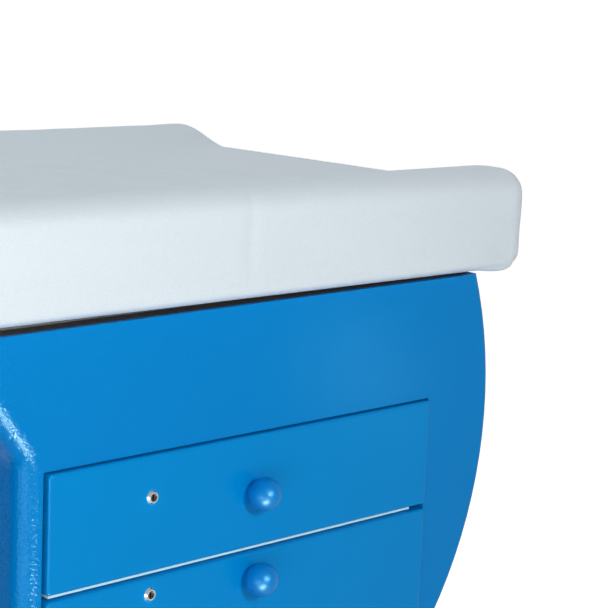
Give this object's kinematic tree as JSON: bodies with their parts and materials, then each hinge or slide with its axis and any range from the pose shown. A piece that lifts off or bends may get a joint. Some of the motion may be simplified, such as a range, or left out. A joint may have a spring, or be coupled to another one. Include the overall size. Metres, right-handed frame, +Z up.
{
  "type": "pediatric examination table",
  "caption": "Pediatric examination table: moulded blue body with round ends and a kneehole, locking drawers with ball knobs, and a contoured grey vinyl pad on a tapered riser.",
  "frame": {"origin": "on the floor, under the middle of the table", "axes": "+X along the table towards the drawer end, +Y to the back, +Z up"},
  "size_m": [1.865, 0.64, 0.8355],
  "materials": {
    "body_gelcoat": "gloss",
    "drawer_lacquer": "satin",
    "knob_plastic": "gloss",
    "pad_vinyl": "satin",
    "pad_foam": "matte",
    "plywood": "matte",
    "black_laminate": "matte",
    "white_rail": "satin",
    "white_melamine": "satin",
    "runner_zinc": "satin",
    "lock_nickel": "polished",
    "lock_black": "satin",
    "steel_hardware": "satin",
    "glide_nylon": "matte"
  },
  "bodies": {
    "cabinet": {"front_shell": "body_gelcoat", "rear_shell": "body_gelcoat", "pad_cover": "pad_vinyl", "pad_foam": "pad_foam", "left_inner_wall": "plywood", "right_inner_wall": "plywood", "left_floor": "plywood", "right_floor": "plywood", "left_outer_wall": "plywood", "right_outer_wall": "plywood", "right_post": "plywood", "case_floor": "plywood", "top_rail": "plywood", "bottom_rail": "plywood", "right_stile": "plywood", "left_seam_batten": "plywood", "right_seam_batten": "plywood", "arch_batten": "plywood", "pad_board": "plywood", "plinth_blocks": "plywood", "pad_riser": "black_laminate", "deck_board": "black_laminate", "left_plinth": "black_laminate", "right_plinth": "black_laminate", "divider_rail": "white_rail", "upper_runner_rails": "runner_zinc", "lower_runner_rails": "runner_zinc", "pad_bolts": "steel_hardware", "pad_nuts": "steel_hardware", "glide_screws": "steel_hardware", "floor_glides": "glide_nylon"},
    "upper_drawer": {"upper_drawer_front": "drawer_lacquer", "upper_drawer_left_side": "white_melamine", "upper_drawer_right_side": "white_melamine", "upper_drawer_back": "white_melamine", "upper_drawer_bottom": "white_melamine", "upper_runner_tongues": "runner_zinc", "upper_knob": "knob_plastic", "upper_knob_screw": "steel_hardware", "upper_lock_barrel": "lock_nickel", "upper_lock_nut": "steel_hardware"},
    "upper_runner_middle": {"upper_runner_slides": "runner_zinc"},
    "upper_lock_core": {"upper_lock_plug": "lock_black", "upper_lock_cam": "steel_hardware", "upper_cam_nut": "steel_hardware"},
    "lower_drawer": {"lower_drawer_front": "drawer_lacquer", "lower_drawer_left_side": "white_melamine", "lower_drawer_right_side": "white_melamine", "lower_drawer_back": "white_melamine", "lower_drawer_bottom": "white_melamine", "lower_runner_tongues": "runner_zinc", "lower_knob": "knob_plastic", "lower_knob_screw": "steel_hardware", "lower_lock_barrel": "lock_nickel", "lower_lock_nut": "steel_hardware"},
    "lower_runner_middle": {"lower_runner_slides": "runner_zinc"},
    "lower_lock_core": {"lower_lock_plug": "lock_black", "lower_lock_cam": "steel_hardware", "lower_cam_nut": "steel_hardware"}
  },
  "joints": [
    {"name": "upper_drawer_slide", "type": "slide", "parent": "cabinet", "child": "upper_drawer", "axis": [0, -1, 0], "range_m": [0, 0.38]},
    {"name": "upper_runner_slide", "type": "slide", "parent": "cabinet", "child": "upper_runner_middle", "axis": [0, -1, 0], "range_m": [0, 0.19]},
    {"name": "upper_lock_turn", "type": "hinge", "parent": "upper_drawer", "child": "upper_lock_core", "pos_m": [0.3595, -0.295, 0.515], "axis": [0, -1, 0], "range_deg": [0, 90]},
    {"name": "lower_drawer_slide", "type": "slide", "parent": "cabinet", "child": "lower_drawer", "axis": [0, -1, 0], "range_m": [0, 0.38]},
    {"name": "lower_runner_slide", "type": "slide", "parent": "cabinet", "child": "lower_runner_middle", "axis": [0, -1, 0], "range_m": [0, 0.19]},
    {"name": "lower_lock_turn", "type": "hinge", "parent": "lower_drawer", "child": "lower_lock_core", "pos_m": [0.3595, -0.295, 0.412], "axis": [0, -1, 0], "range_deg": [0, 90]}
  ],
  "couplings": [
    {"joint": "upper_runner_slide", "follows": "upper_drawer_slide", "ratio": 0.5},
    {"joint": "lower_runner_slide", "follows": "lower_drawer_slide", "ratio": 0.5}
  ]
}
